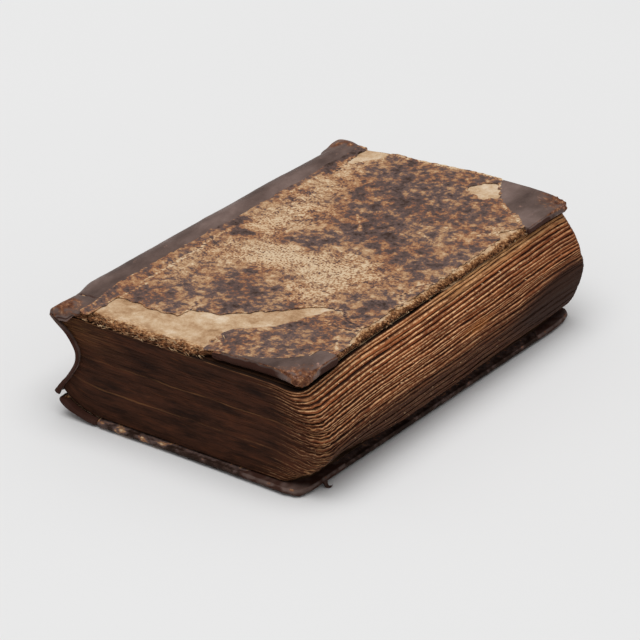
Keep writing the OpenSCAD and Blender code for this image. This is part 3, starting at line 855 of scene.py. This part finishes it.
def back_paper_set(a, b, h, rim, out):
    bare = ease((a + 41) / 3) * ease((-30 - a) / 2) + ease((a + 30) / 2) * ease((-20 - a) / 2)
    bare = max(bare + ease((a + 19) / 2) * ease((-4.5 - a) / 2), ease((a - 36) / 6) * ease((48 - a) / 6))
    at_tail = bare * ease((-82.5 - b) / 1.6) * max(0.75 + 1.3 * wander(a / 5, h * 0.8, 3), 0)
    low = 0.02 + back_underside(a, b)
    if rim == 0:
        push = 0.2 * wander(a / 2, b / 2, h * 2) - 0.45 * (2 * h - 1) ** 2
        a += out.x * push
        b += out.y * push
    x, z = curl(a, low + (2.77 - low) * h)
    lip = ease((0.5 - rim) / 0.5) * ease((h - 0.5) / 0.3) * max(0.3 + wander(a / 3, b / 3, 2), 0)
    worn = 0.1 + 0.25 * wander(a / 12, b / 12, 4) - 0.55 * ease((3 - rim) / 3) + 0.72 * at_tail + 0.8 * lip
    return back_warp(x, b, z), worn


# Sprinkled paper: a dark purple-brown sprinkle over orange-brown size on tan rag paper.
# Rubbing lets the orange through in patches first and then the tan, with fine dark stipple.
# Patches are 4.5 mm, flecks 2 mm and warmer areas 13 mm. The stipple is 0.8 mm, coarser than
# the real sprinkle, so that it shows.
side_paper, tree, shader = new_material("sprinkled_paper_rubbed", 0.75, 0.18)
spot = add(tree, "TexCoord", out="Object")
worn = add(tree, "Attribute", attribute_name="wear", out="Fac")
# Each grain: scale, detail, roughness, the wear between which its strength changes, and both strengths.
PAPER_GRAINS = [(220.0, 6, 0.6, 0.5, 0.85, 1.7, 0.6), (480.0, 8, 0.72, 0.45, 0.9, 1.7, 0.9),
                (1250.0, 1, 0.5, 0.35, 0.8, 0.3, 2.9)]
through = worn
for scale, detail, rough, start, stop, first, last in PAPER_GRAINS:
    grain = add(tree, "TexNoise", {"Vector": spot, "Scale": scale, "Detail": detail, "Roughness": rough})
    centred = add(tree, "Math", {0: grain, 1: 0.5}, operation="SUBTRACT")
    much = add(tree, "MapRange", {0: worn, 1: start, 2: stop, 3: first, 4: last})
    through = add(tree, "Math", {0: centred, 1: much, 2: through}, operation="MULTIPLY_ADD")
shown = add(tree, "MapRange", {0: through, 1: -0.5, 2: 1.0, 3: 0.0, 4: 1.0})
rusted = add(tree, "ValToRGB", {0: shown}, ramp=[
    (0.05, "#2a180f"), (0.22, "#402d25"), (0.36, "#54433e"), (0.50, "#665049"), (0.54, "#80533e"),
    (0.61, "#9b6b4a"), (0.73, "#b58a63"), (0.95, "#d9bd9a")])
tanned = add(tree, "ValToRGB", {0: shown}, ramp=[
    (0.05, "#24150d"), (0.22, "#402d25"), (0.36, "#584743"), (0.50, "#6c5751"), (0.55, "#8b664f"),
    (0.62, "#a77e5c"), (0.74, "#be9a75"), (0.95, "#dcc4a4")])
warm = add(tree, "TexNoise", {"Vector": spot, "Scale": 75.0, "Detail": 4, "Roughness": 0.6})
either = add(tree, "MapRange", {0: warm, 1: 0.42, 2: 0.58, 3: 0.0, 4: 1.0})
paper_colour = add(tree, "Mix", {0: either, 6: rusted, 7: tanned}, data_type="RGBA")
tree.links.new(paper_colour, shader.inputs["Base Color"])
rough = add(tree, "Bump", {"Strength": 0.5, "Distance": 0.0003, "Height": through})
tree.links.new(rough, shader.inputs["Normal"])

front_paper = make_piece("front_sprinkled_paper", sheet(
    (-47.6, 52.4, -84.6, 85), 0.62, front_paper_keep, front_paper_set, walls=1), side_paper)
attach(front_paper, "front_cover")
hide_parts("front_side_paper")
back_paper = make_piece("back_sprinkled_paper", sheet(
    (-36.8, 54.2, -85.2, 85.2), 1.0, back_paper_keep, back_paper_set, walls=3), side_paper)
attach(back_paper, "back_cover")
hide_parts("back_side_paper")


# Spine leather: one calf skin pared thin, glued over the sunk back, rolled over the ridge
# and lapped on the front board. Its caps are worn red, and it is torn off along the bottom,
# where a ragged flap hangs away from the leaves at the tail.
SPINE_LINE = [(-35, 43.45), (-41, 43.45), (-46, 43.45), (-49, 43.3), (-51.2, 42.75), (-52.9, 41.7),
              (-53.8, 40.6), (-54.0, 39.8), (-53.4, 38.9), (-52.2, 37.4), (-50.2, 34.3), (-47.6, 31.0),
              (-46.0, 28.4), (-45.6, 25.8), (-46.0, 23.2), (-47.2, 20.6), (-49.3, 17.4), (-51.6, 14.0),
              (-53.4, 11.2), (-55.5, 7.6)]
LEATHER_HALF = 85.4


def smooth_line(points, parts=8):
    """A smooth line through the points, as closer points with their run along the line."""
    line = [(*points[0], 0.0)]
    ends = [points[0]] + points + [points[-1]]
    for p, q, r, s in zip(ends, ends[1:], ends[2:], ends[3:]):
        for part in range(1, parts + 1):
            t = part / parts
            x, z = [0.5 * (2 * b + (c - a) * t + (2 * a - 5 * b + 4 * c - d) * t * t
                           + (3 * b - a - 3 * c + d) * t ** 3) for a, b, c, d in zip(p, q, r, s)]
            line.append((x, z, line[-1][2] + math.hypot(x - line[-1][0], z - line[-1][1])))
    return line


spine_line = smooth_line(SPINE_LINE)
SPINE_RUN = spine_line[-1][2]


def on_spine(run):
    """Place on the outer face of the spine leather, and the way out from it."""
    run = min(max(run, 0.0), SPINE_RUN - 1e-4)
    low, high = 0, len(spine_line) - 1
    while high - low > 1:
        half = (low + high) // 2
        low, high = (half, high) if spine_line[half][2] <= run else (low, half)
    (ax, az, ar), (bx, bz, br) = spine_line[low], spine_line[high]
    t = (run - ar) / (br - ar)
    way = Vector((bx - ax, bz - az)).normalized()
    return ax + t * (bx - ax), az + t * (bz - az), way.y, -way.x


RIDGE_RUN = min((x, run) for x, z, run in spine_line if z > 35)[1]


def spine_leather_keep(run, y):
    lap = -41 + 0.3 * wander(y / 7, 3)
    if run < -35 - lap or abs(y) > LEATHER_HALF + 0.01:
        return False
    flap = 4.0 * ease((-70 - y) / 9)
    torn = SPINE_RUN - 4.4 + flap + 0.9 * wander(y / 5, 2) + 0.5 * wander(y / 1.6, 8)
    return run < torn


def spine_leather_set(a, b, h, rim, out):
    x, z, out_x, out_z = on_spine(a)
    on_board = ease((RIDGE_RUN + 2 - a) / 3)
    cap = ease((abs(b) - 74) / 6) * ease((a - 8) / 6) * ease((RIDGE_RUN + 9 - a) / 9)
    thick = 0.55 + 0.1 * (1 - on_board)
    end = ease((abs(b) - 82.6) / 1.6) * ease((a - 7) / 5)
    thick += 2.4 * end * on_board + 0.6 * end * (1 - on_board)
    thick += 1.7 * ease((-83.9 - b) / 0.6) * on_board * ease((a - 7) / 5)
    swell = 1.35 * ease((b + 71) / 9) * (1 - 0.35 * ease((b - 30) / 50))
    raised = swell * ease((a - 7) / 7) * ease((RIDGE_RUN + 6 - a) / 6)
    raised += cap * (0.25 if b > 0 else 0.2) * (0.9 + 0.5 * wander(a / 2.2, b / 2.6))
    crest = 0.8 * ease((b - 73) / 2.5) + 1.0 * ease((b - 76) / 9)
    raised += crest * ease((a - 13) / 7) * ease((RIDGE_RUN + 8 - a) / 8)
    crack = math.exp(-((b + 72.3 + 0.9 * wander(a / 3, 2)) / 0.5) ** 2) * ease((a - 6) / 4) * on_board
    raised += -0.45 * crack + 0.07 * wander(a / 3, b / 5) + 0.16 * wander(a / 5, b / 14, 2)
    if rim == 0 and abs(b) > 84:
        raised -= 0.55 * (2 * h - 1) ** 2 if on_board > 0.5 else 0
        b += math.copysign(0.35 * (1 - (2 * h - 1) ** 2), b)
    hang = ease((-74 - b) / 9) * ease((a - SPINE_RUN + 12) / 12)
    raised += 1.0 * hang + 0.5 * hang * wander(a / 2, b / 3)
    off = raised - (thick + 0.9 * hang) * (1 - h)
    x += out_x * off
    z += out_z * off
    worn = cap * (0.42 + 0.7 * wander(a / 3, b / 3, 3)) - 0.4 * ease(1 - rim) * (1 - cap * on_board)
    worn += 0.25 * math.exp(-((a - RIDGE_RUN) / 1.6) ** 2) * (0.5 + wander(b / 6, 3))
    worn += 0.27 * ease((-75 - b) / 5) * ease((a - 2) / 7) * on_board - 0.5 * crack
    # At the tail the turn-in's edge is suede brown, with a painted shadow line where a slit runs under it.
    if rim == 0 and b < -84 and on_board > 0.5:
        slit_shadow = 8 < a < RIDGE_RUN - 2 and abs(h - 0.2) < 0.05
        worn = -0.5 if slit_shadow else 0.38 + 0.45 * wander(a / 3, h * 2)
    plain = Vector((x + spine_slant(x, b, z), b, z))
    return plain.lerp(Vector(front_warp(x, b, z)), ease((z - 34) / 6)), worn


def back_lap_keep(x, y):
    edge = -36.2 + 0.5 * wander(y / 6, 3)
    return x < edge and abs(y) < 85.2


def back_lap_set(a, b, h, rim, out):
    end = ease((abs(b) - 81.2) / 1.2)
    tip = ease((-52.6 - a) / 2.4)
    tall = 0.55 + (2.4 - 1.6 * tip) * max(end, tip)
    low = max(0.1 * wander(a / 3, b / 3), 0.0) + back_underside(0, b) * ease((a + 52) / 8)
    if rim == 0:
        push = -0.35 * (2 * h - 1) ** 2 + 0.3 * wander(b / 2, h)
        a += out.x * push
        b += out.y * push
    x, z = curl(a, low + max(tall - low, 0.3) * h)
    return back_warp(x, b, max(z, 0.0)), 0.2 * wander(a / 4, b / 8) - 0.45 * max(end, tip)


# Calf leather: dark brown, polished where hands rubbed it, with a painted grey sheen in its lighter
# clouds, worn to red at the caps and edges and to tan suede where the skin is gone. Low wear
# turns it near black: its cut edges, and painted shade in slits, at the foot of the corner walls and on
# the back corners. The clouds are drawn out to 13 by 27 mm, nicks are 4 mm and scuffs 1.8 mm.
# Pores are 0.7 mm, coarser than real, to show.
calf, tree, shader = new_material("calf_leather_worn", specular=0.18)
spot = add(tree, "TexCoord", out="Object")
worn = add(tree, "Attribute", attribute_name="wear", out="Fac")
pulled = add(tree, "VectorMath", {0: spot, 1: (1.2, 0.6, 1.2)}, operation="MULTIPLY")
cloud = add(tree, "TexNoise", {"Vector": pulled, "Scale": 62.0, "Detail": 6, "Roughness": 0.62})
# The lighter grey stops stand partly for a painted sheen.
skin = add(tree, "ValToRGB", {0: cloud}, ramp=[
    (0.32, "#46352f"), (0.48, "#624f48"), (0.60, "#76625b"), (0.74, "#8d776e")])
scuff = add(tree, "TexNoise", {"Vector": spot, "Scale": 560.0, "Detail": 6, "Roughness": 0.76})
raw = add(tree, "Math", {0: scuff, 1: 0.9, 2: worn}, operation="MULTIPLY_ADD")
bare = add(tree, "MapRange", {0: raw, 1: 0.62, 2: 1.0}, interpolation_type="SMOOTHSTEP")
suede = add(tree, "ValToRGB", {0: scuff}, ramp=[
    (0.35, "#361a10"), (0.47, "#5f3825"), (0.57, "#84563a"), (0.68, "#bd926f")])
hide = add(tree, "Mix", {0: bare, 6: skin, 7: suede}, data_type="RGBA")
dark = add(tree, "MapRange", {0: worn, 1: -0.08, 2: -0.4, 3: 0.0, 4: 0.9})
# Low wear mixes in near black: cut edges and painted shade.
cut_and_shade = add(tree, "Mix", {0: dark, 6: hide, 7: tint("#381b10")}, data_type="RGBA")
nick = add(tree, "TexNoise", {"Vector": spot, "Scale": 260.0, "Detail": 5, "Roughness": 0.75})
near = add(tree, "Math", {0: worn, 1: 0.14, 2: nick}, operation="MULTIPLY_ADD")
grazed = add(tree, "MapRange", {0: near, 1: 0.64, 2: 0.72, 3: 0.0, 4: 0.75})
scraped = add(tree, "Mix", {0: grazed, 6: cut_and_shade, 7: tint("#b08776")}, data_type="RGBA")
tree.links.new(scraped, shader.inputs["Base Color"])
gloss = add(tree, "MapRange", {0: raw, 1: 0.35, 2: 1.0, 3: 0.42, 4: 0.85})
matt = add(tree, "Math", {0: dark, 1: 0.5, 2: gloss}, operation="MULTIPLY_ADD")
tree.links.new(matt, shader.inputs["Roughness"])
pores = add(tree, "TexVoronoi", {"Vector": spot, "Scale": 1500.0}, feature="F1")
high = add(tree, "Math", {0: pores, 1: 0.35, 2: scuff}, operation="MULTIPLY_ADD")
grain = add(tree, "Bump", {"Strength": 0.3, "Distance": 0.0003, "Height": high})
tree.links.new(grain, shader.inputs["Normal"])

spine_leather = make_piece("spine_calf", sheet(
    (0, SPINE_RUN, -LEATHER_HALF, LEATHER_HALF), 0.75, spine_leather_keep, spine_leather_set, walls=5), calf)
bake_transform(spine_leather)
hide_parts("spine_leather", "front_spine_lap")
back_lap = make_piece("back_lap_calf", sheet(
    (-55.4, -35.4, -85.2, 85.2), 1.0, back_lap_keep, back_lap_set, walls=3), calf)
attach(back_lap, "back_cover")
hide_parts("back_spine_lap")


# Spine lining: a strip of waste paper glued between the leaves and the leather, which
# shows only as a pale edge at the torn tail.
def lining_set(a, b, h, rim, out):
    x, z, out_x, out_z = on_spine(a)
    off = -0.72 - 0.25 * (1 - h)
    x += out_x * off
    z += out_z * off
    return (x + spine_slant(x, b, z), b, z), 0.4


lining = make_piece("back_lining_strip", sheet(
    (RIDGE_RUN + 3, SPINE_RUN - 7, -82, 82), 2.0, lambda run, y: True, lining_set, walls=1), endpaper)
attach(lining, "text_block")
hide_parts("spine_lining")


# Leather corners: triangles of the same calf wrapped over the fore corners of both boards
# and turned in. Their tips are rubbed to red suede.
def front_corner_set(a, b, h, rim, out):
    inward = LEATHER_PROUD + min(fore_line(b) - a, BOARD_HALF - b if b > 0 else b - tail_line(a))
    at_edge = ease((2.6 - inward) / 1.4)
    tip = math.exp(-((a - 51) ** 2 + (abs(b) - 84) ** 2) / 110)
    if rim == 0 and at_edge > 0.5:
        push = -0.75 * (2 * h - 1) ** 2 + 0.35 * tip * wander(a / 1.2, b / 1.2, h * 3)
        a += out.x * push
        b += out.y * push
    low = BOARD_LOW - 0.3
    if b < 0:
        low += 1.9 * (1 - ease((a - 7) / 9)) - 0.9 * ease((a - 12) / 10)
    z = low + h * max(BOARD_TOP + 0.45 - low - (tail_round(a, b) if b < 0 else 0), 0.2)
    near = ease((1.6 - rim) / 1.6)
    if h > 0.5:
        z -= (0.12 + 0.18 * at_edge) * near
        z += 0.06 * wander(a / 4, b / 4) + 0.5 * tip * wander(a / 1.2, b / 1.2)
    red_rim = 0.3 * ease((a - fore_line(b) + 2) / 1.5)
    worn = tip * (0.62 + 0.5 * wander(a / 1.6, b / 1.6, 3))
    worn += (0.15 + red_rim + 0.35 * wander(a / 4, b / 4, 2)) * near * at_edge
    worn += 0.12 * wander(a / 5, b / 5)
    if rim == 0 and at_edge > 0.5:
        fold = 0.35 if h > 0.9 and b < 0 else 0
        worn += 0.25 * h * (0.5 + wander(a / 2, b / 2, 5)) + fold * (0.8 + wander(a / 1.7, b / 1.7, 7))
        # The lower quarter of each edge wall is painted dark as shade at its foot, above the gap under the
        # cover.
        worn -= (0.9 + red_rim) * ease((1.0 - h) / 0.25) * (1 - 0.75 * tip)
    return front_warp(a, b, z), worn


def back_corner_set(a, b, h, rim, out):
    low = back_underside(a, b)
    if rim == 0 and max(a - 50, abs(b) - 81.5) > 0:
        push = 0.35 - 0.55 * (2 * h - 1) ** 2 + 0.12 * wander(a / 1.5, b / 1.5, h * 3)
        a += out.x * push
        b += out.y * push
    tip = math.exp(-((a - 54) ** 2 + (abs(b) - 85) ** 2) / 60)
    lip = ease((0.5 - rim) / 0.5) * ease((h - 0.5) / 0.3) * max(0.35 + wander(a / 3, b / 3, 2), 0)
    # The back corners are darkened as painted shade, since they lie in the shadow of the leaves.
    worn = 0.3 * wander(a / 3, b / 3) + (-0.36 if b > 0 else -0.4) + 0.9 * lip + 0.4 * tip * (b < 0) * h
    return back_warp(a, b, low + (3.0 - low) * h), worn


BACK_CORNER = [(25, 95), (25.4, 85), (54, 57.5), (62, 57), (62, 95)]
FRONT_SPAN = (7.7, 53, 52.7, 84.9)
BACK_SPAN = (24.7, BACK_FORE, 56.7, BACK_HALF)
corners = [("front_head_corner", HEAD_CORNER, FRONT_SPAN, front_corner_set),
           ("front_tail_corner", TAIL_CORNER, FRONT_SPAN, front_corner_set),
           ("back_head_corner", BACK_CORNER, BACK_SPAN, back_corner_set),
           ("back_tail_corner", [(x, -y) for x, y in BACK_CORNER], BACK_SPAN, back_corner_set)]
for name, outline, (near, far, low, high), set_in in corners:
    span = (near, far, low, high) if "head" in name else (near, far, -high, -low)
    if name.startswith("front"):
        bm = sheet(span, 0.7, lambda x, y: inside(outline, x, y) and on_front(x, y, LEATHER_PROUD),
                   set_in, walls=4)
    else:
        bm = sheet(span, 0.7, lambda x, y: inside(outline, x, y)
                   and round_corner(x, y, BACK_FORE, BACK_HALF, BOARD_CORNER), set_in, walls=4)
    corner = make_piece(name.replace("corner", "corner_calf"), bm, calf)
    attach(corner, "front_cover" if name.startswith("front") else "back_cover")
    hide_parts(name)


# Leather shred: a strip of the back corner's turn-in that has come unstuck at the fore
# edge, near the tail, and hangs out over the board in a small hook.
SHRED = [(51.6, -71.0, 2.6, 1.5), (53.6, -71.2, 2.5, 1.3), (54.7, -71.5, 1.7, 1.1), (55.3, -71.9, 0.9, 0.8),
         (56.0, -72.0, 0.55, 0.6), (56.8, -71.6, 0.65, 0.45), (57.2, -71.2, 1.1, 0.25)]
bm = bmesh.new()
bmesh.ops.create_grid(bm, x_segments=len(SHRED) - 1, y_segments=2, size=0.5)
wear = bm.verts.layers.float.new("wear")
for v in bm.verts:
    x, y, z, half = SHRED[round((v.co.x + 0.5) * (len(SHRED) - 1))]
    across = 2 * v.co.y
    v[wear] = -0.3
    v.co = Vector(back_warp(x, y + across * half, z + 0.15 * across ** 2)) * MM
bmesh.ops.solidify(bm, geom=bm.faces[:], thickness=0.5 * MM)
shred = make_piece("back_corner_shred", bm, calf, crease=80)
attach(shred, "back_cover")


# Pastedowns: the endpapers' other halves, pasted inside the boards over the turned-in
# leather and paper.
def front_pastedown_set(a, b, h, rim, out):
    x, z = roll(a, BOARD_TOP - BOARD_LOW + 0.25 - 0.24 * h)
    return front_warp(x, b, z), 0.5 * ease((3 - rim) / 3)


def back_pastedown_set(a, b, h, rim, out):
    x, z = curl(a, 2.78 + 0.24 * h)
    # Painted shade over a broad band at the rim, where the back pastedown shows in the dark wedge under the
    # leaves.
    return back_warp(x, b, z), 0.95 * ease((9 + 4 * wander(a / 9, b / 9, 4) - rim) / 8)


front_pastedown = make_piece("front_pasted_leaf", sheet(
    (-51, 47.5, -80, 80), 2.0, lambda x, y: round_corner(x, y, 47.5, 80, 4),
    front_pastedown_set, walls=1), endpaper)
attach(front_pastedown, "front_cover")
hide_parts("front_pastedown")
back_pastedown = make_piece("back_pasted_leaf", sheet(
    (-53, 50, -81, 81), 2.0, lambda x, y: round_corner(x, y, 50, 81, 4),
    back_pastedown_set, walls=1), endpaper)
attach(back_pastedown, "back_cover")
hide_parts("back_pastedown")


# Floor and studio: a plain pale sweep, soft light from overhead and an even world,
# with the camera at the height and turn of the photograph.
bm = bmesh.new()
bmesh.ops.create_grid(bm, x_segments=8, y_segments=8, size=3.0)
# Pale floor: matt paint with faint clouds of 330 mm.
floor_paint, tree, shader = new_material("pale_floor", 0.9, 0.0)
spot = add(tree, "TexCoord", out="Object")
speck = add(tree, "TexNoise", {"Vector": spot, "Scale": 3.0})
pale = add(tree, "ValToRGB", {0: speck}, ramp=[(0.3, "#e7e7e7"), (0.7, "#e9e9e9")])
tree.links.new(pale, shader.inputs["Base Color"])
floor = make_piece("studio_floor", bm, floor_paint)

world = bpy.data.worlds.new("even_studio")
world.use_nodes = True
sky = world.node_tree.nodes["Background"]
sky.inputs["Color"].default_value = (1, 1, 1, 1)
sky.inputs["Strength"].default_value = 0.38
bpy.context.scene.world = world
lamp = bpy.data.lights.new("overhead_softbox", "SUN")
lamp.energy = 1.98
lamp.angle = math.radians(60)
softbox = bpy.data.objects.new("overhead_softbox", lamp)
softbox.rotation_euler = (math.radians(4), math.radians(1), 0)
bpy.context.scene.collection.objects.link(softbox)

TURN = math.radians(35.074)
LIFT = math.radians(27.36)
DISTANCE = 1.5
BOOK_MIDDLE = Vector((0, 0, 0.02175))
away = Vector((math.sin(TURN) * math.cos(LIFT), -math.cos(TURN) * math.cos(LIFT), math.sin(LIFT)))
lens = bpy.data.cameras.new("photo_camera")
lens.sensor_width = 36.0
lens.lens = 232.7
lens.shift_y = -0.0162
lens.clip_end = 20.0
camera = bpy.data.objects.new("photo_camera", lens)
camera.location = BOOK_MIDDLE + DISTANCE * away
camera.rotation_euler = away.to_track_quat("Z", "Y").to_euler()
bpy.context.scene.collection.objects.link(camera)
bpy.context.scene.camera = camera
bpy.context.scene.view_settings.view_transform = "Standard"
